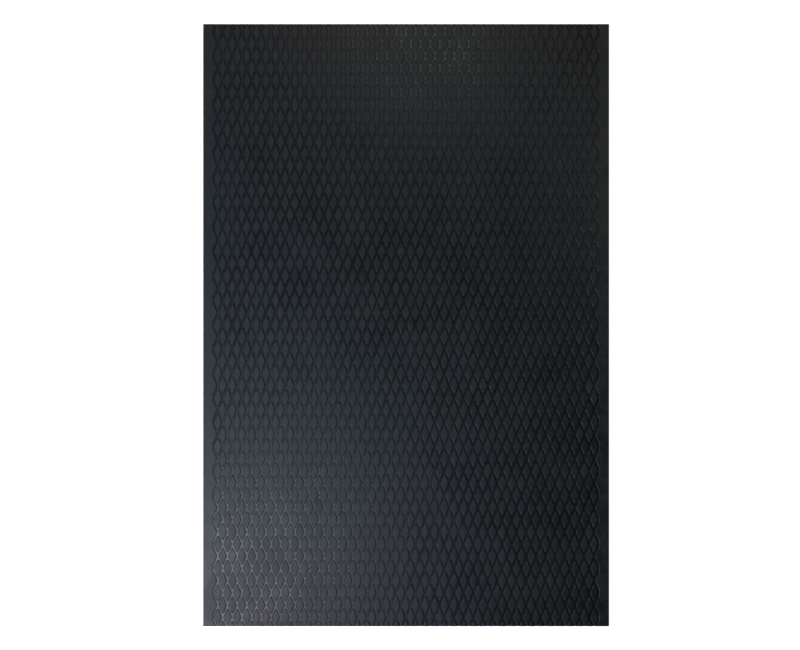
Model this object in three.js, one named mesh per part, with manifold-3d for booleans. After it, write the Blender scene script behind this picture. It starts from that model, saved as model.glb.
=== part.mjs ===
// Rubber stall mat: one slab of vulcanised rubber that lies flat on a floor and butts against its neighbours.
//
// The mat is pressed in a mould that is open at both ends, and then cut to length. Its two long sides are
// moulded, so their upper arris is rolled over. Its two ends are cut, so their upper arris is nearly sharp.
// The underside is flat, with sharp edges all round.
//
// Lengths are in millimetres. X runs across the mat, Y along it and Z up. The origin is the middle of the
// underside, on the floor.
//
// The shallow diamond tread in the upper face is surface relief, and the solid's upper face is the plane of
// the diamonds' tops.

import * as THREE from "three";
import { mergeVertices } from "three/addons/utils/BufferGeometryUtils.js";
import Module from "manifold-3d";

// Driving dimensions
const MAT_WIDTH = 1219;
const MAT_LENGTH = 1808;
const MAT_THICKNESS = 19;
const SIDE_ROLL_RADIUS = 2.5; // upper arris of the moulded long sides
const END_ROLL_RADIUS = 0.8; // upper arris of the cut ends

// How finely a quarter round is divided
const ROLL_SEGMENTS = 8;

// Finish: black rubber with a dull sheen
const RUBBER = { color: 0x24272a, roughness: 0.55, metalness: 0 };

const wasm = await Module();
wasm.setup();

// Outline of the slab seen along one of its sides: square below, with both upper corners rounded.
function slabOutline(span, rollRadius) {
  const edge = span / 2;
  const rollStart = edge - rollRadius;
  const rollHeight = MAT_THICKNESS - rollRadius;
  const outline = new THREE.Shape();
  outline.moveTo(-edge, 0);
  outline.lineTo(edge, 0);
  outline.lineTo(edge, rollHeight);
  outline.absarc(rollStart, rollHeight, rollRadius, 0, Math.PI / 2, false);
  outline.lineTo(-rollStart, MAT_THICKNESS);
  outline.absarc(-rollStart, rollHeight, rollRadius, Math.PI / 2, Math.PI, false);
  outline.closePath();
  return outline;
}

// An outline drawn in width and height, extruded over a run that is centred on the origin and lies along Y.
function extrudeAlongY(outline, run) {
  const geometry = new THREE.ExtrudeGeometry(outline, {
    depth: run,
    bevelEnabled: false,
    curveSegments: ROLL_SEGMENTS,
  });
  return geometry.translate(0, 0, -run / 2).rotateX(Math.PI / 2);
}

// A closed geometry as a manifold solid, with only its positions kept so that shared corners merge.
function toSolid(geometry) {
  const bare = geometry.clone();
  bare.deleteAttribute("normal");
  bare.deleteAttribute("uv");
  const merged = mergeVertices(bare);
  return new wasm.Manifold(
    new wasm.Mesh({
      numProp: 3,
      vertProperties: merged.attributes.position.array,
      triVerts: new Uint32Array(merged.index.array),
    }),
  );
}

// A manifold solid back as a geometry that a mesh can show.
function toGeometry(solid) {
  const { vertProperties, triVerts } = solid.getMesh();
  const geometry = new THREE.BufferGeometry();
  geometry.setAttribute("position", new THREE.BufferAttribute(vertProperties, 3));
  geometry.setIndex(new THREE.BufferAttribute(triVerts, 1));
  geometry.computeVertexNormals();
  return geometry;
}

// The slab is what two extrusions share: the one with the sides' rolled arris, and the one with the ends'.
function matGeometry() {
  const sides = extrudeAlongY(slabOutline(MAT_WIDTH, SIDE_ROLL_RADIUS), MAT_LENGTH);
  const ends = extrudeAlongY(slabOutline(MAT_LENGTH, END_ROLL_RADIUS), MAT_WIDTH).rotateZ(Math.PI / 2);
  return toGeometry(toSolid(sides).intersect(toSolid(ends)));
}

const stallMat = new THREE.Mesh(matGeometry(), new THREE.MeshStandardMaterial(RUBBER));
stallMat.name = "stall_mat";

const part = new THREE.Group();
part.add(stallMat);

export default part;
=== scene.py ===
"""Rubber stall mat: one moulded slab with a raised diamond tread, lying on a pale studio floor.

X runs across the mat, Y along it and Z up, in metres, with the origin in the middle of the underside.
The mat is one closed mesh. Its tread is a lattice of diamonds that stand out of a net of shallow grooves.
The lattice ends at a plain border along each long side, where half diamonds run into the border, and it is
cut through at both ends.
"""

import logging
import math
from dataclasses import dataclass
from enum import Enum, IntEnum

import bmesh
import bpy
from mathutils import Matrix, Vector


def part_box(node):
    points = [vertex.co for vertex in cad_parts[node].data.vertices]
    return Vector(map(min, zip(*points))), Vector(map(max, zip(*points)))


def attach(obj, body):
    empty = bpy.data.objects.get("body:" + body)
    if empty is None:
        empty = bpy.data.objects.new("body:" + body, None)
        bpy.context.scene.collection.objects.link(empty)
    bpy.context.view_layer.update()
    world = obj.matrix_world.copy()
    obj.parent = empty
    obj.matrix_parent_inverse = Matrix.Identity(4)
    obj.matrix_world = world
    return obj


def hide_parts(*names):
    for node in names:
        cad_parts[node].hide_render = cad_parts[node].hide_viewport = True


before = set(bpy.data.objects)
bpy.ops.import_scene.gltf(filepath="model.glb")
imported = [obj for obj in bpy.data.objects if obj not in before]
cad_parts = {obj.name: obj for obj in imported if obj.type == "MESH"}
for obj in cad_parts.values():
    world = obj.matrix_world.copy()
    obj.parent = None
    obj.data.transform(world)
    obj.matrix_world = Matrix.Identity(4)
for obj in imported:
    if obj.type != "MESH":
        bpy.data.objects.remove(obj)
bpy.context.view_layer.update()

LOG = logging.getLogger("stall_mat")
MM = 0.001
WELD = MM / 100  # vertices nearer than this are one
TINY = MM / 1000  # lengths below this count as nothing
NOISE_ROUGHNESS = 0.6  # how much each finer octave of a noise keeps
MIX_COLOURS = (6, 7)  # colour inputs of a Mix node
MIX_RESULT = 2  # its colour output

Point = tuple[float, float]
Colour = tuple[float, float, float]
Socket = bpy.types.NodeSocket


class Region(IntEnum):
    """Which surface of the mat a face belongs to, which is also its material's place on the mesh."""

    TREAD = 0
    GROOVE = 1
    SIDE = 2
    CUT = 3
    UNDERSIDE = 4


class Border(Enum):
    """One of the two plain borders, by the way along X that leads from it into the tread."""

    LEFT = 1
    RIGHT = -1


class Shell:
    """Vertices and faces of one surface, collected piece by piece."""

    def __init__(self) -> None:
        """Starts with no faces."""
        self.points: list[tuple[float, float, float]] = []
        self.faces: list[list[int]] = []
        self.regions: list[Region] = []

    def line(self, places: list[Point], height: float) -> list[int]:
        """Adds vertices at one height.

        Args:
            places: Their X and Y.
            height: Their Z.

        Returns:
            Their numbers, in the same order.
        """
        start = len(self.points)
        self.points.extend((x, y, height) for x, y in places)
        return list(range(start, len(self.points)))

    def face(self, corners: list[int], region: Region) -> None:
        """Adds one face.

        Args:
            corners: Vertex numbers, counterclockwise as seen from outside.
            region: The surface that it belongs to.
        """
        self.faces.append(corners)
        self.regions.append(region)

    def strip(self, inner: list[int], outer: list[int], region: Region, closed: bool = False) -> None:
        """Joins two lines of as many vertices by a strip of quads.

        Args:
            inner: The line that the strip starts from, with the solid on its left.
            outer: The line on the right of it.
            region: The surface that the strip belongs to.
            closed: Whether the lines run round in a ring.
        """
        for here in range(len(inner) - (not closed)):
            after = (here + 1) % len(inner)
            self.face([inner[here], outer[here], outer[after], inner[after]], region)


@dataclass(frozen=True)
class Slab:
    """The plain slab: its box and how its upper arrises are rounded."""

    low: Vector
    high: Vector
    side_roll: float = 2.5 * MM  # moulded, along the long sides
    end_roll: float = 0.8 * MM  # cut, across the ends
    side_roll_steps: int = 8
    end_roll_steps: int = 3

    @property
    def half_width(self) -> float:
        """Half the mat's width."""
        return (self.high.x - self.low.x) / 2

    @property
    def half_length(self) -> float:
        """Half the mat's length."""
        return (self.high.y - self.low.y) / 2

    @property
    def top(self) -> float:
        """Height of the diamonds' tops and the borders."""
        return self.high.z

    def section(self) -> list[Point]:
        """Outline of the slab across its width, without its upper face.

        Returns:
            X and Z from the right end of the upper face, down, under the mat and up to the left end.
        """
        right = []
        for step in range(self.side_roll_steps + 1):
            turn = math.pi / 2 * step / self.side_roll_steps
            x = self.half_width - self.side_roll * (1 - math.sin(turn))
            right.append((x, self.top - self.side_roll * (1 - math.cos(turn))))
        right.append((self.half_width, self.low.z))
        return right + [(-x, z) for x, z in reversed(right)]

    def add_belt(self, shell: Shell, start: float, end: float) -> None:
        """Adds a stretch of both long sides and the underside.

        Args:
            shell: The mesh in the making.
            start: Y where the stretch starts.
            end: Y where it ends, higher than start.
        """
        section = self.section()
        middle = len(section) // 2
        near = [shell.line([(x, start)], z)[0] for x, z in section]
        far = [shell.line([(x, end)], z)[0] for x, z in section]
        for here in range(len(section) - 1):
            region = Region.UNDERSIDE if here == middle - 1 else Region.SIDE
            shell.face([near[here], near[here + 1], far[here + 1], far[here]], region)

    def round_end(self, past: float) -> float:
        """How far the upper face has dropped at an end.

        Args:
            past: Distance past the start of the rounded arris.

        Returns:
            The drop, up to the arris's radius.
        """
        return self.end_roll - math.sqrt(max(self.end_roll**2 - past**2, 0.0))

    def cut_to_length(self, mesh: bmesh.types.BMesh) -> None:
        """Cuts the mesh square at both ends, rounds the upper arris there and closes the cuts.

        Args:
            mesh: The mat, open and too long at both ends.
        """
        start = self.half_length - self.end_roll
        reach = start - self.end_roll
        turns = [math.pi / 2 * step / self.end_roll_steps for step in range(self.end_roll_steps + 1)]
        for way in (1, -1):
            for turn in turns:
                place = start + self.end_roll * math.sin(turn)
                near_end = [f for f in mesh.faces if max(way * v.co.y for v in f.verts) > reach]
                parts = dict.fromkeys(p for f in near_end for p in (*f.verts, *f.edges))
                bmesh.ops.bisect_plane(
                    mesh,
                    geom=[*parts, *near_end],
                    dist=TINY,
                    plane_co=(0, way * place, 0),
                    plane_no=(0, way, 0),
                    clear_outer=turn == turns[-1],
                )
        middle = (self.top + self.low.z) / 2
        for vertex in mesh.verts:
            past = abs(vertex.co.y) - start
            if past > 0 and vertex.co.z > middle:
                vertex.co.z -= self.round_end(past)
        rims = [e for e in mesh.edges if e.is_boundary]
        caps = bmesh.ops.holes_fill(mesh, edges=rims, sides=0)["faces"]
        upper = [f for f in mesh.faces if f.material_index in (Region.TREAD, Region.GROOVE)]
        rolled = [f for f in upper if abs(f.calc_center_median().y) > start]
        for face in {*caps, *rolled}:
            face.material_index = Region.CUT
        bmesh.ops.triangulate(mesh, faces=caps)


@dataclass(frozen=True)
class Level:
    """One height line round a diamond, from its top's edge down to the floor of the groove."""

    offset: float  # outwards from the middle of the groove's wall
    drop: float  # below the diamond's top


@dataclass(frozen=True)
class DiamondTread:
    """The lattice of raised diamonds, and the plain borders that it runs into."""

    slab: Slab
    border: float = 30 * MM
    diamonds_across: int = 40
    pitch_along: float = 73.25 * MM
    first_row: float = 22.7 * MM  # from the far end to the middle of the first full row
    groove_width: float = 4.7 * MM  # between the middles of its walls
    groove_depth: float = 2.2 * MM
    wall_run: float = 1.5 * MM
    arris_run: float = 0.9 * MM
    arris_drop: float = 0.35 * MM
    corner_radius: float = 3.4 * MM
    tip_points: int = 5
    flank_points: int = 2

    @property
    def half_across(self) -> float:
        """Half the pitch of the diamonds in a row."""
        return (self.slab.half_width - self.border) / self.diamonds_across

    @property
    def half_along(self) -> float:
        """Distance between a row and the next, which is set over."""
        return self.pitch_along / 2

    @property
    def lattice(self) -> "Lattice":
        """The lattice as the finishes need it."""
        return Lattice(2 * self.half_across, self.pitch_along, self.row_place(0))

    @property
    def levels(self) -> list[Level]:
        """The top's edge, the foot of its arris and the foot of the wall."""
        wall = self.wall_run / 2
        return [
            Level(-wall - self.arris_run, 0.0),
            Level(-wall, self.arris_drop),
            Level(wall, self.groove_depth),
        ]

    def outline(self, offset: float) -> list[Point]:
        """Rhombus with rounded corners, about its own middle.

        Args:
            offset: How far it lies outside the outline at half depth.

        Returns:
            Its points, counterclockwise from the lower point of the right corner.
        """
        lean = math.atan2(self.half_across, self.half_along)
        to_cell = self.half_across * math.cos(lean)
        kernel = (to_cell - self.groove_width / 2 - self.corner_radius) / to_cell
        flank, tip = kernel * self.half_across, kernel * self.half_along
        corners = [
            ((flank, 0.0), -lean, lean, self.flank_points),
            ((0.0, tip), lean, math.pi - lean, self.tip_points),
            ((-flank, 0.0), math.pi - lean, math.pi + lean, self.flank_points),
            ((0.0, -tip), math.pi + lean, 2 * math.pi - lean, self.tip_points),
        ]
        points = []
        for (x, y), first, last, count in corners:
            step = (last - first) / count
            reach = (self.corner_radius + offset) / math.cos(step / 2)
            for here in range(count):
                turn = first + (here + 0.5) * step
                points.append((x + reach * math.cos(turn), y + reach * math.sin(turn)))
        return points

    def row_place(self, row: int) -> float:
        """Y of a row: 0 is the first full row at the far end, and odd rows are set over."""
        return self.slab.half_length - self.first_row - row * self.half_along

    def crossing(self, column: int, row: int) -> Point:
        """Where four grooves meet.

        Args:
            column: Half pitches from the left border's edge.
            row: Number of its row.

        Returns:
            Its X and Y, which at a border is the foot of the border's wall.
        """
        x = (column - self.diamonds_across) * self.half_across
        foot = self.levels[-1].offset
        if column == 0:
            x += foot
        if column == 2 * self.diamonds_across:
            x -= foot
        return x, self.row_place(row)

    def add_diamond(self, shell: Shell, column: int, row: int) -> None:
        """Adds a diamond with its walls and its share of the groove's floor.

        Args:
            shell: The mesh in the making.
            column: Half pitches from the left border's edge to its middle.
            row: Number of its row.
        """
        x, y = (column - self.diamonds_across) * self.half_across, self.row_place(row)
        top = self.slab.top
        rings = []
        for level in self.levels:
            places = [(x + dx, y + dy) for dx, dy in self.outline(level.offset)]
            rings.append(shell.line(places, top - level.drop))
        shell.face(rings[0], Region.TREAD)
        shell.strip(rings[0], rings[1], Region.TREAD, closed=True)
        shell.strip(rings[1], rings[2], Region.GROOVE, closed=True)
        around = [(column + 1, row), (column, row - 1), (column - 1, row), (column, row + 1)]
        cell = shell.line([self.crossing(*c) for c in around], top - self.groove_depth)
        self._add_floor(shell, rings[2], cell)

    def _add_floor(self, shell: Shell, foot: list[int], cell: list[int]) -> None:
        """Adds the floor between the foot of a diamond's wall and the four crossings round it.

        Args:
            shell: The mesh in the making.
            foot: Vertices at the foot of the wall.
            cell: Vertices at the crossings: right, far, left and near.
        """
        counts = [self.flank_points, self.tip_points] * 2
        starts = [sum(counts[:corner]) for corner in range(len(counts))]
        before = [start + (count - 1) // 2 for start, count in zip(starts, counts)]
        behind = [start + count // 2 for start, count in zip(starts, counts)]
        for here, vertex in enumerate(cell):
            after = (here + 1) % len(cell)
            last = before[after] + (len(foot) if after == 0 else 0)
            side = [foot[place % len(foot)] for place in range(behind[here], last + 1)]
            shell.face([vertex, cell[after], *reversed(side)], Region.GROOVE)
            if before[here] != behind[here]:
                shell.face([vertex, foot[behind[here]], foot[before[here]]], Region.GROOVE)

    def border_line(self, level: Level, row: int, border: Border) -> list[Point]:
        """Height line of a border's edge: straight, round a half diamond and straight again.

        Args:
            level: Which height line.
            row: The row of the half diamond.
            border: Which border.

        Returns:
            X and Y of its points, with the border on the left of the line.
        """
        outline = self.outline(level.offset)
        half = sorted((p for p in outline if p[0] > TINY), key=lambda p: math.atan2(p[1], p[0]))
        tip = max(y for x, y in outline)
        ends = [(level.offset, -self.half_along), (level.offset, -tip)]
        line = [*ends, *half, *((x, -y) for x, y in reversed(ends))]
        edge = -border.value * self.diamonds_across * self.half_across
        placed = [(edge + border.value * x, self.row_place(row) + y) for x, y in line]
        return placed if border is Border.LEFT else placed[::-1]

    def add_border(self, shell: Shell, row: int, border: Border) -> None:
        """Adds a stretch of a border with the half diamond that runs into it.

        Args:
            shell: The mesh in the making.
            row: The row of the half diamond.
            border: Which border.
        """
        top = self.slab.top
        lines = [shell.line(self.border_line(v, row, border), top - v.drop) for v in self.levels]
        flat_end = -border.value * (self.slab.half_width - self.slab.side_roll)
        ends = [shell.points[lines[0][0]][1], shell.points[lines[0][-1]][1]]
        start, end = shell.line([(flat_end, y) for y in ends], top)
        shell.face([start, *lines[0], end], Region.TREAD)
        shell.strip(lines[0], lines[1], Region.TREAD)
        shell.strip(lines[1], lines[2], Region.GROOVE)
        column = 1 if border is Border.LEFT else 2 * self.diamonds_across - 1
        (crossing,) = shell.line([self.crossing(column, row)], top - self.groove_depth)
        foot = lines[2]
        shell.face([foot[0], crossing, *reversed(foot[1:])], Region.GROOVE)

    def build(self, shell: Shell) -> int:
        """Adds the whole tread, a little past both ends of the mat.

        Args:
            shell: The mesh in the making.

        Returns:
            How many whole diamonds were added.
        """
        first = -math.ceil(self.first_row / self.half_along)
        last = math.ceil((2 * self.slab.half_length - self.first_row) / self.half_along)
        first -= 1 - first % 2
        last += 1 - last % 2
        made = 0
        for row in range(first, last + 1):
            set_over = row % 2
            if set_over:
                for border in Border:
                    self.add_border(shell, row, border)
                self.slab.add_belt(shell, self.row_place(row + 1), self.row_place(row - 1))
            for column in range(1 + set_over, 2 * self.diamonds_across, 2):
                self.add_diamond(shell, column, row)
                made += 1
        return made


@dataclass(frozen=True)
class SurfaceMap:
    """Where each surface of the mat lies on the flat sheet that its finish is baked to."""

    slab: Slab
    margin: float = 0.008  # between the surfaces and round the sheet
    rolled: float = 0.1  # a cut face that looks up more than this belongs to the rounded arris

    def place(self, region: Region, spot: Vector, normal: Vector) -> Point:
        """Place on the sheet of a corner of a face.

        Args:
            region: The surface that the face belongs to.
            spot: The corner.
            normal: The way that the face looks.

        Returns:
            U and V, from 0 to 1.
        """
        slab, gap = self.slab, self.margin
        scale = (1 - 2 * gap) / (2 * slab.half_length)
        along = gap + (spot.y + slab.half_length) * scale
        face_height = 2 * slab.half_width * scale
        strip_height = (slab.top + slab.side_roll) * scale
        strips = 2 * gap + face_height
        across = gap + (spot.x + slab.half_width) * scale
        if region is Region.SIDE:
            up = (spot.z + slab.half_width - abs(spot.x)) * scale
            return along, strips + up + (strip_height + gap) * (normal.x > 0)
        if region is Region.CUT and normal.z < self.rolled:
            base = strips + (strip_height + gap) * (2 + (normal.y > 0))
            return across, base + spot.z * scale
        if region is not Region.UNDERSIDE:
            return along, across
        base = strips + (strip_height + gap) * 4
        small = (1 - gap - base) / (2 * slab.half_width)
        return gap + (spot.y + slab.half_length) * small, base + (spot.x + slab.half_width) * small


class NodeSheet:
    """A material's nodes, added and joined by short calls."""

    def __init__(self, name: str) -> None:
        """Makes an empty material.

        Args:
            name: The material's name.
        """
        self.material = bpy.data.materials.new(name)
        self.material.use_nodes = True
        self.tree = self.material.node_tree
        self.tree.nodes.clear()

    def add(self, kind: str, values: dict[str, object] | None = None, **settings: object) -> bpy.types.Node:
        """Adds a node.

        Args:
            kind: Its type.
            values: Values for its sockets, and sockets of other nodes to join to them.
            settings: Its other settings.

        Returns:
            The node.
        """
        node = self.tree.nodes.new(kind)
        for name, setting in settings.items():
            setattr(node, name, setting)
        for name, value in (values or {}).items():
            if isinstance(value, Socket):
                self.tree.links.new(value, node.inputs[name])
            else:
                node.inputs[name].default_value = value
        return node

    def noise(self, place: Socket, scale: float, detail: float) -> Socket:
        """Adds soft noise.

        Args:
            place: The coordinates.
            scale: Features to a metre.
            detail: Octaves of finer noise.

        Returns:
            The noise, about 0.5 in the mean.
        """
        values = {"Vector": place, "Scale": scale, "Detail": detail, "Roughness": NOISE_ROUGHNESS}
        return self.add("ShaderNodeTexNoise", values).outputs["Fac"]

    def ramp(self, value: object, low: float, high: float, first: float, last: float) -> Socket:
        """Adds a clamped linear change of a value.

        Args:
            value: The socket that is read.
            low: Its value at the start of the change.
            high: Its value at the end of it.
            first: What comes out at the start.
            last: What comes out at the end.

        Returns:
            The changed value.
        """
        values = {"Value": value, "From Min": low, "From Max": high, "To Min": first, "To Max": last}
        return self.add("ShaderNodeMapRange", values).outputs["Result"]

    def math(self, operation: str, first: object, second: object) -> Socket:
        """Adds a sum, product or the like of two values.

        Args:
            operation: What is done.
            first: A number or socket.
            second: A number or socket.

        Returns:
            The result.
        """
        node = self.add("ShaderNodeMath", operation=operation)
        for socket, value in zip(node.inputs, (first, second)):
            if isinstance(value, Socket):
                self.tree.links.new(value, socket)
            else:
                socket.default_value = value
        return node.outputs["Value"]

    def blend(self, share: object, first: object, last: object) -> Socket:
        """Adds a mix of two colours.

        Args:
            share: How much of the second shows.
            first: A colour or socket.
            last: A colour or socket.

        Returns:
            The mixed colour.
        """
        node = self.add("ShaderNodeMix", {"Factor": share}, data_type="RGBA")
        for socket, value in zip([node.inputs[number] for number in MIX_COLOURS], (first, last)):
            if isinstance(value, Socket):
                self.tree.links.new(value, socket)
            else:
                socket.default_value = (*value, 1.0)
        return node.outputs[MIX_RESULT]

    def surface(
        self, colour: object, roughness: object, normal: object, shine: float
    ) -> bpy.types.Material:
        """Ends the sheet in one surface shader.

        Args:
            colour: Socket of its colour.
            roughness: Socket of its roughness.
            normal: Socket of its normal.
            shine: Its specular level, 0.5 for plain rubber.

        Returns:
            The finished material.
        """
        values = {
            "Base Color": colour,
            "Roughness": roughness,
            "Normal": normal,
            "Specular IOR Level": shine,
        }
        shader = self.add("ShaderNodeBsdfPrincipled", values)
        self.add("ShaderNodeOutputMaterial", {"Surface": shader.outputs["BSDF"]})
        return self.material


@dataclass(frozen=True)
class Lattice:
    """Where the diamonds lie, so that a finish can tell one from the next."""

    across: float  # pitch along X
    along: float  # pitch along Y
    first: float  # Y of a row

    def own_tone(self, sheet: NodeSheet, place: Socket) -> Socket:
        """Adds a value that is the same all over a diamond and differs from one to the next.

        Args:
            sheet: The material in the making.
            place: The coordinates.

        Returns:
            The value, from 0 to 1.
        """
        shift = self.first / self.along
        diagonal = math.sqrt(2)
        mapping = sheet.add("ShaderNodeMapping", {"Vector": place})
        mapping.inputs["Scale"].default_value = (diagonal / self.across, diagonal / self.along, 0.0)
        mapping.inputs["Rotation"].default_value = (0.0, 0.0, math.pi / 4)
        mapping.inputs["Location"].default_value = (shift, -shift, 0.0)
        cell = sheet.add("ShaderNodeVectorMath", operation="FLOOR")
        sheet.tree.links.new(mapping.outputs["Vector"], cell.inputs[0])
        number = {"Vector": cell.outputs["Vector"]}
        noise = sheet.add("ShaderNodeTexWhiteNoise", number, noise_dimensions="3D")
        return noise.outputs["Value"]


@dataclass(frozen=True)
class RubberFinish:
    """Black rubber: its colour, its sheen and how both vary over the surface."""

    name: str
    colour: Colour = (0.0095, 0.0102, 0.0115)
    bloom_colour: Colour = (0.0125, 0.0132, 0.0145)  # greyer film in soft patches
    bloom_edge: Point = (0.18, 0.34)  # noise where the film starts and is full
    roughness: float = 0.39
    noise_span: Point = (0.3, 0.7)  # noise that takes the roughness from its least to its most
    patch_scale: float = 8.0
    patch_spread: float = 0.045  # roughness over patches of a hand's width
    smear_scale: float = 55.0
    smear_spread: float = 0.05  # roughness over smears of a finger's width
    octaves: float = 4.0  # of the patches and smears
    own_spread: float = 0.0  # roughness from one diamond to the next
    grain_scale: float = 900.0
    grain_octaves: float = 2.0
    grain_depth: float = 0.05 * MM
    swell_depth: float = 0.06 * MM  # unevenness over a finger's width
    speck_size: float = 0.0  # radius of the largest specks of dust
    speck_scale: float = 16.0  # cells to a metre, each with one speck at most
    speck_floor: float = 0.7  # share of the cells that have none
    speck_colour: Colour = (0.5, 0.5, 0.48)
    stain_colour: Colour = (0.023, 0.0197, 0.0168)  # brown film, mostly along the right side
    stain_edge: Point = (0.45, 0.6)  # X where the film starts to gather and has gathered most
    stain_gather: float = 0.18  # how much it gathers there
    stain_own: float = 0.2  # how much it differs from one diamond to the next
    stain_span: Point = (0.7, 0.84)  # amount where it starts to show and is full
    streak_scale: float = 45.0
    streak_octaves: float = 5.0
    streak_stretch: tuple[float, float, float] = (0.5, 1.0, 1.0)
    shine: float = 0.5
    lattice: Lattice | None = None

    def material(self) -> bpy.types.Material:
        """Builds the finish.

        Returns:
            Its material.
        """
        sheet = NodeSheet(self.name)
        place = sheet.add("ShaderNodeTexCoord").outputs["Object"]
        patches = sheet.noise(place, self.patch_scale, self.octaves)
        smears = sheet.noise(place, self.smear_scale, self.octaves)
        grain = sheet.noise(place, self.grain_scale, self.grain_octaves)
        own = self.lattice.own_tone(sheet, place) if self.lattice else 0.5
        bloom = sheet.ramp(sheet.math("MULTIPLY", patches, smears), *self.bloom_edge, 0.0, 1.0)
        colour = sheet.blend(bloom, self.colour, self.bloom_colour)
        colour = sheet.blend(self._stains(sheet, place, own), colour, self.stain_colour)
        if self.speck_size:
            colour = sheet.blend(self._specks(sheet, place), colour, self.speck_colour)
        least, most = self.roughness - self.patch_spread, self.roughness + self.patch_spread
        rough = sheet.ramp(patches, *self.noise_span, least, most)
        uneven = sheet.ramp(smears, *self.noise_span, -self.smear_spread, self.smear_spread)
        rough = sheet.math("ADD", rough, uneven)
        if self.own_spread:
            rough = sheet.math("ADD", rough, sheet.ramp(own, 0.0, 1.0, -self.own_spread, self.own_spread))
        coarse = {"Height": smears, "Distance": self.swell_depth, "Strength": 1.0}
        swell = sheet.add("ShaderNodeBump", coarse).outputs["Normal"]
        grains = {"Height": grain, "Distance": self.grain_depth, "Strength": 1.0, "Normal": swell}
        fine = sheet.add("ShaderNodeBump", grains)
        return sheet.surface(colour, rough, fine.outputs["Normal"], self.shine)

    def _stains(self, sheet: NodeSheet, place: Socket, own: object) -> Socket:
        """Adds the film of brown dust, in streaks on the right border and on single diamonds elsewhere.

        Args:
            sheet: The material in the making.
            place: The coordinates.
            own: Each diamond's own value, about 0.5 in the mean.

        Returns:
            How much of the film shows.
        """
        across = sheet.add("ShaderNodeSeparateXYZ", {"Vector": place}).outputs["X"]
        drawn = sheet.add("ShaderNodeMapping", {"Vector": place, "Scale": self.streak_stretch})
        streaks = sheet.noise(drawn.outputs["Vector"], self.streak_scale, self.streak_octaves)
        gathered = sheet.ramp(across, *self.stain_edge, 0.0, self.stain_gather)
        film = sheet.math("ADD", streaks, gathered)
        amount = sheet.math("ADD", film, sheet.math("MULTIPLY", own, self.stain_own))
        return sheet.ramp(amount, *self.stain_span, 0.0, 1.0)

    def _specks(self, sheet: NodeSheet, place: Socket) -> Socket:
        """Adds scattered specks of dust.

        Args:
            sheet: The material in the making.
            place: The coordinates.

        Returns:
            1 on a speck and 0 elsewhere.
        """
        spread = {"Vector": place, "Scale": self.speck_scale, "Randomness": 1.0}
        cells = sheet.add("ShaderNodeTexVoronoi", spread)
        red = sheet.add("ShaderNodeSeparateColor", {"Color": cells.outputs["Color"]}).outputs[0]
        reach = sheet.ramp(red, self.speck_floor, 1.0, 0.0, self.speck_size * self.speck_scale)
        return sheet.math("LESS_THAN", cells.outputs["Distance"], reach)


@dataclass(frozen=True)
class CutFinish:
    """Face that a blade has left: packed rubber crumb with a dragged texture."""

    name: str
    colour: Colour = (0.012, 0.0125, 0.0135)
    crumb_colour: Colour = (0.03, 0.031, 0.033)
    crumb_scale: float = 420.0
    crumb_height: float = 0.6  # beside the blade's marks, which count as 1
    mark_scale: float = 90.0
    mark_octaves: float = 3.0
    mark_stretch: tuple[float, float, float] = (1.0, 1.0, 9.0)
    roughness: Point = (0.6, 0.82)  # of the darkest crumb and of the palest
    depth: float = 0.25 * MM
    shine: float = 0.4

    def material(self) -> bpy.types.Material:
        """Builds the finish.

        Returns:
            Its material.
        """
        sheet = NodeSheet(self.name)
        place = sheet.add("ShaderNodeTexCoord").outputs["Object"]
        crumbs = sheet.add("ShaderNodeTexVoronoi", {"Vector": place, "Scale": self.crumb_scale})
        tone = sheet.add("ShaderNodeSeparateColor", {"Color": crumbs.outputs["Color"]}).outputs[0]
        dragged = sheet.add("ShaderNodeMapping", {"Vector": place, "Scale": self.mark_stretch})
        marks = sheet.noise(dragged.outputs["Vector"], self.mark_scale, self.mark_octaves)
        colour = sheet.blend(sheet.math("MULTIPLY", tone, tone), self.colour, self.crumb_colour)
        rough = sheet.ramp(tone, 0.0, 1.0, *self.roughness)
        raised = sheet.math("MULTIPLY", crumbs.outputs["Distance"], self.crumb_height)
        height = sheet.math("ADD", raised, marks)
        bump = sheet.add("ShaderNodeBump", {"Height": height, "Distance": self.depth, "Strength": 1.0})
        return sheet.surface(colour, rough, bump.outputs["Normal"], self.shine)


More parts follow.
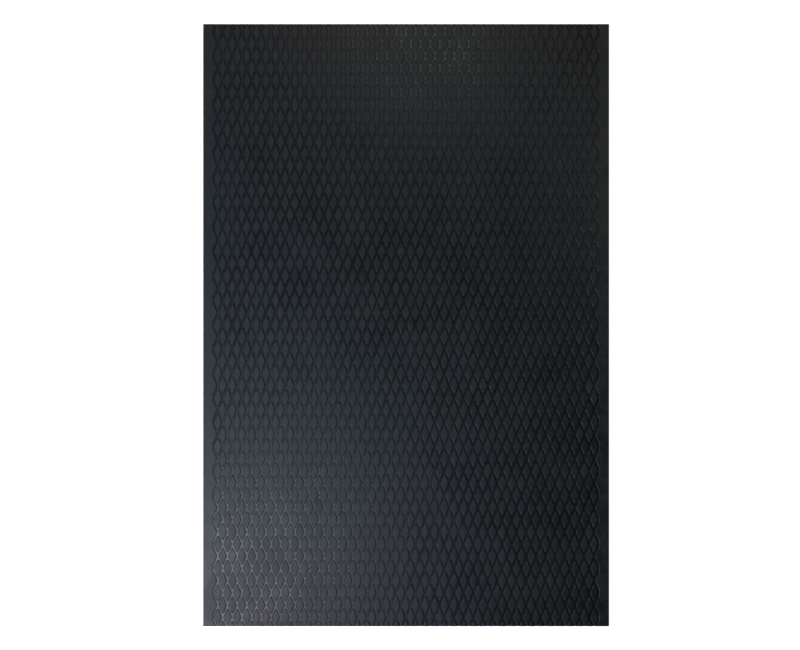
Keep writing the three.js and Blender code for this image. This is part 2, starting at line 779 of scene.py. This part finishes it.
@dataclass
class StallMat:
    """The mat itself: its slab, its tread and its finishes."""

    slab: Slab
    name: str = "stall_mat_moulding"
    crease: float = math.radians(40)  # edges sharper than this are drawn sharp

    def finishes(self) -> dict[Region, RubberFinish | CutFinish]:
        """Sets the finish of each surface.

        Returns:
            The finishes by surface.
        """
        lattice = DiamondTread(self.slab).lattice
        return {
            Region.TREAD: RubberFinish(
                "rubber_tread",
                own_spread=0.015,
                speck_size=1.1 * MM,
                lattice=lattice,
            ),
            Region.GROOVE: RubberFinish(
                "rubber_groove",
                roughness=0.28,
                smear_spread=0.02,
                grain_depth=0.02 * MM,
                swell_depth=0.02 * MM,
                stain_colour=(0.0135, 0.0125, 0.0118),
            ),
            Region.SIDE: RubberFinish("rubber_side", roughness=0.55, swell_depth=0.5 * MM),
            Region.CUT: CutFinish("rubber_cut"),
            Region.UNDERSIDE: RubberFinish("rubber_underside", roughness=0.62, grain_depth=0.12 * MM),
        }

    def mesh(self) -> bpy.types.Mesh:
        """Builds the closed mesh.

        Returns:
            The mesh, with its surfaces' materials and its map.
        """
        shell = Shell()
        made = DiamondTread(self.slab).build(shell)
        LOG.info("tread: %d whole diamonds", made)
        mesh = bpy.data.meshes.new(self.name)
        mesh.from_pydata(shell.points, [], shell.faces)
        mesh.polygons.foreach_set("material_index", shell.regions)
        work = bmesh.new()
        work.from_mesh(mesh)
        bmesh.ops.remove_doubles(work, verts=work.verts, dist=WELD)
        self.slab.cut_to_length(work)
        self._lay_out(work)
        work.to_mesh(mesh)
        work.free()
        mesh.shade_smooth()
        mesh.set_sharp_from_angle(angle=self.crease)
        finishes = self.finishes()
        for region in Region:
            mesh.materials.append(finishes[region].material())
        return mesh

    def _lay_out(self, work: bmesh.types.BMesh) -> None:
        """Lays every face out on the sheet that the finish is baked to."""
        layout = SurfaceMap(self.slab)
        layer = work.loops.layers.uv.new("OFBake")
        for face in work.faces:
            region = Region(face.material_index)
            for loop in face.loops:
                loop[layer].uv = layout.place(region, loop.vert.co, face.normal)

    def build(self) -> bpy.types.Object:
        """Makes the mat and stands it for the CAD node.

        Returns:
            The mat's object.
        """
        piece = bpy.data.objects.new(self.name, self.mesh())
        bpy.context.scene.collection.objects.link(piece)
        even = piece.modifiers.new("even_normals", "WEIGHTED_NORMAL")
        even.keep_sharp = True
        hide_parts("stall_mat")
        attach(piece, "root")
        return piece


@dataclass(frozen=True)
class SoftLight:
    """A rectangular soft light that looks at a point on the mat."""

    name: str
    place: tuple[float, float, float]
    aim: tuple[float, float, float]
    size: Point
    power: float
    colour: Colour = (1.0, 1.0, 1.0)

    def build(self) -> None:
        """Makes the light."""
        data = bpy.data.lights.new(self.name, "AREA")
        data.shape = "RECTANGLE"
        data.size, data.size_y = self.size
        data.energy = self.power
        data.color = self.colour
        light = bpy.data.objects.new(self.name, data)
        light.location = self.place
        light.rotation_euler = (Vector(self.aim) - Vector(self.place)).to_track_quat("-Z", "Y").to_euler()
        bpy.context.scene.collection.objects.link(light)


@dataclass(frozen=True)
class Studio:
    """Pale floor, soft lights and the camera that looks straight down on the mat."""

    slab: Slab
    image_size: tuple[int, int] = (800, 650)  # pixels
    mat_width_px: float = 406.2
    mat_middle_px: Point = (406.1, 325.2)
    lens: float = 85.0
    sensor: float = 36.0
    floor_half: float = 20.0
    floor_gap: float = 0.2 * MM
    floor_colour: Colour = (0.9, 0.9, 0.9)
    floor_roughness: float = 0.9
    floor_glow: float = 1.1
    horizon_glow: float = 0.2  # light from low down all round, which fades out upwards
    horizon_top: float = 0.75  # sine of the height where it has faded out
    lights: tuple[SoftLight, ...] = (
        SoftLight("near_left", (-0.90, -1.53, 2.6), (-0.62, -1.05, 0.0), (0.5, 0.6), 5.4, (1.0, 0.67, 0.54)),
        SoftLight("key", (-0.90, -1.09, 2.6), (-0.62, -0.75, 0.0), (0.5, 0.6), 8.9, (0.8, 0.84, 1.0)),
        SoftLight("key_wing", (-0.44, -1.02, 2.6), (-0.30, -0.70, 0.0), (0.5, 0.6), 3.7, (0.65, 0.8, 1.0)),
        SoftLight("middle", (-0.44, -0.51, 2.6), (-0.30, -0.35, 0.0), (0.5, 0.6), 1.3, (0.6, 1.0, 1.0)),
        SoftLight("left", (-1.39, 0.0, 2.6), (-0.95, 0.0, 0.0), (0.5, 0.6), 3.5, (0.62, 0.73, 1.0)),
        SoftLight("left_middle", (-1.39, 0.66, 2.6), (-0.95, 0.45, 0.0), (0.5, 0.6), 1.5, (0.58, 0.93, 1.0)),
        SoftLight("left_far", (-1.39, 1.31, 2.6), (-0.95, 0.90, 0.0), (0.5, 0.6), 2.1, (0.5, 0.7, 1.0)),
        SoftLight("left_near", (-2.03, -1.22, 2.0), (-0.45, -0.90, 0.0), (0.8, 1.0), 42.0, (0.5, 0.77, 1.0)),
        SoftLight("low_left", (-2.6, -2.6, 1.7), (0.0, -0.1, 0.0), (1.4, 1.4), 13.0, (0.95, 0.97, 1.0)),
        SoftLight("right", (1.22, 0.61, 3.0), (0.8, 0.4, 0.0), (0.8, 0.8), 2.0, (0.84, 1.0, 1.0)),
        SoftLight("far_glare", (0.08, 1.30, 3.0), (0.05, 0.85, 0.0), (0.5, 0.5), 2.8, (0.84, 1.0, 1.0)),
        SoftLight("far_warm", (-0.15, 2.14, 3.0), (-0.1, 1.4, 0.0), (1.0, 1.0), 6.5, (1.0, 0.69, 0.51)),
        SoftLight("far_right", (1.4, 2.4, 3.0), (0.1, 0.5, 0.0), (1.2, 1.2), 2.6, (1.0, 0.67, 0.79)),
    )

    def camera(self) -> None:
        """Makes the camera, so that the mat takes the place it has in the frame."""
        pixel = 2 * self.slab.half_width / self.mat_width_px
        data = bpy.data.cameras.new("camera")
        data.lens, data.sensor_width = self.lens, self.sensor
        camera = bpy.data.objects.new("camera", data)
        distance = self.image_size[0] * pixel * self.lens / self.sensor
        across = (self.image_size[0] / 2 - self.mat_middle_px[0]) * pixel
        along = (self.mat_middle_px[1] - self.image_size[1] / 2) * pixel
        camera.location = (across, along, self.slab.top + distance)
        data.clip_end = 10 * distance
        bpy.context.scene.collection.objects.link(camera)
        bpy.context.scene.camera = camera

    def floor(self) -> None:
        """Makes the floor, which glows a little so that it comes out pale all over."""
        reach, height = self.floor_half, self.slab.low.z - self.floor_gap
        mesh = bpy.data.meshes.new("floor")
        ways = ((-1, -1), (1, -1), (1, 1), (-1, 1))
        mesh.from_pydata([(x * reach, y * reach, height) for x, y in ways], [], [(0, 1, 2, 3)])
        sheet = NodeSheet("floor")
        white = (*self.floor_colour, 1.0)
        values = {
            "Base Color": white,
            "Roughness": self.floor_roughness,
            "Emission Color": white,
            "Emission Strength": self.floor_glow,
        }
        shader = sheet.add("ShaderNodeBsdfPrincipled", values)
        sheet.add("ShaderNodeOutputMaterial", {"Surface": shader.outputs["BSDF"]})
        mesh.materials.append(sheet.material)
        floor = bpy.data.objects.new("floor", mesh)
        bpy.context.scene.collection.objects.link(floor)

    def world(self) -> None:
        """Makes the surroundings: white behind the floor, with a weak glow near the horizon on the mat."""
        world = bpy.data.worlds.new("studio")
        world.use_nodes = True
        tree = world.node_tree
        back = tree.nodes["Background"]
        back.inputs["Color"].default_value = (1.0, 1.0, 1.0, 1.0)
        way = tree.nodes.new("ShaderNodeTexCoord")
        split = tree.nodes.new("ShaderNodeSeparateXYZ")
        glow = tree.nodes.new("ShaderNodeMapRange")
        glow.inputs["From Max"].default_value = self.horizon_top
        glow.inputs["To Min"].default_value = self.horizon_glow
        glow.inputs["To Max"].default_value = 0.0
        rays = tree.nodes.new("ShaderNodeLightPath")
        strength = tree.nodes.new("ShaderNodeMath")
        strength.operation = "MAXIMUM"
        tree.links.new(way.outputs["Generated"], split.inputs[0])
        tree.links.new(split.outputs["Z"], glow.inputs["Value"])
        tree.links.new(glow.outputs["Result"], strength.inputs[0])
        tree.links.new(rays.outputs["Is Camera Ray"], strength.inputs[1])
        tree.links.new(strength.outputs["Value"], back.inputs["Strength"])
        bpy.context.scene.world = world

    def build(self) -> None:
        """Makes the whole studio."""
        self.camera()
        self.floor()
        self.world()
        for light in self.lights:
            light.build()
        bpy.context.scene.view_settings.view_transform = "Standard"


def main() -> None:
    """Builds the studio and the mat, and reports each."""
    logging.basicConfig(level=logging.INFO, format="%(message)s")
    slab = Slab(*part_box("stall_mat"))
    Studio(slab).build()
    LOG.info("studio: floor, lights and camera")
    mat = StallMat(slab).build()
    mat.data.calc_loop_triangles()
    LOG.info("%s: %d triangles", mat.name, len(mat.data.loop_triangles))


if __name__ == "__main__":
    main()
